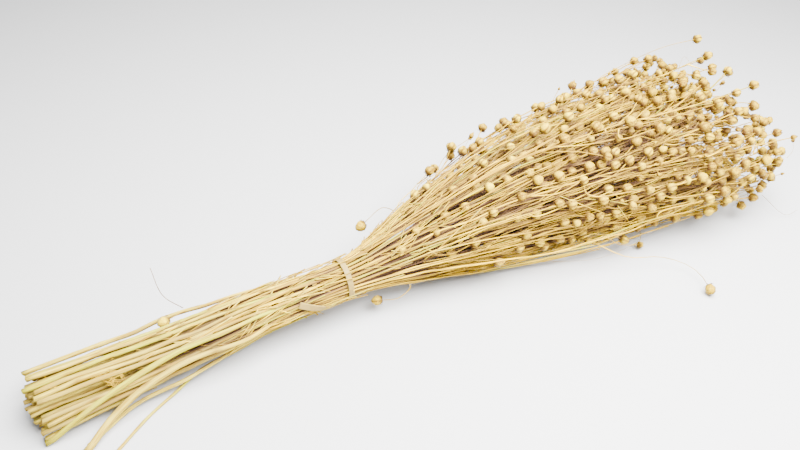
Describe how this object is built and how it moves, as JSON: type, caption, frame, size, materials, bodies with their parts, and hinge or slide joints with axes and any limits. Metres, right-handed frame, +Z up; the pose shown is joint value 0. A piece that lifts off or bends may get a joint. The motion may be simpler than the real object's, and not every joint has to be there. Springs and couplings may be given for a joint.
{
  "type": "bunch of dried flax",
  "caption": "Bunch of dried flax lying down: straw stems with round seed bolls, tied at the waist by a flat elastic band.",
  "frame": {"origin": "middle of the bunch's footprint, at the height of the table it lies on", "axes": "+X along the stems from the cut ends to the seed heads, +Y to the far side of the bunch, +Z up"},
  "size_m": [0.5217, 0.1927, 0.0983],
  "materials": {
    "straw": "matte dry straw with a faint sheen",
    "rubber": "matte pale beige rubber"
  },
  "bodies": {
    "root": {"stem_01": "straw", "stem_02": "straw", "stem_03": "straw", "stem_04": "straw", "stem_05": "straw", "stem_06": "straw", "stem_07": "straw", "stem_08": "straw", "stem_09": "straw", "stem_10": "straw", "stem_11": "straw", "stem_12": "straw", "stem_13": "straw", "stem_14": "straw", "stem_15": "straw", "stem_16": "straw", "stem_17": "straw", "stem_18": "straw", "stem_19": "straw", "stem_20": "straw", "stem_21": "straw", "stem_22": "straw", "stem_23": "straw", "stem_24": "straw", "stem_25": "straw", "stem_26": "straw", "stem_27": "straw", "stem_28": "straw", "stem_29": "straw", "stem_30": "straw", "stem_31": "straw", "stem_32": "straw", "stem_33": "straw", "stem_34": "straw", "stem_35": "straw", "stem_36": "straw", "stem_37": "straw", "stem_38": "straw", "stem_39": "straw", "stem_40": "straw", "stem_41": "straw", "stem_42": "straw", "stem_43": "straw", "stem_44": "straw", "stem_45": "straw", "stem_46": "straw", "stem_47": "straw", "stem_48": "straw", "stem_49": "straw", "stem_50": "straw", "stem_51": "straw", "stem_52": "straw", "stem_53": "straw", "stem_54": "straw", "tie_band": "rubber"}
  },
  "joints": []
}
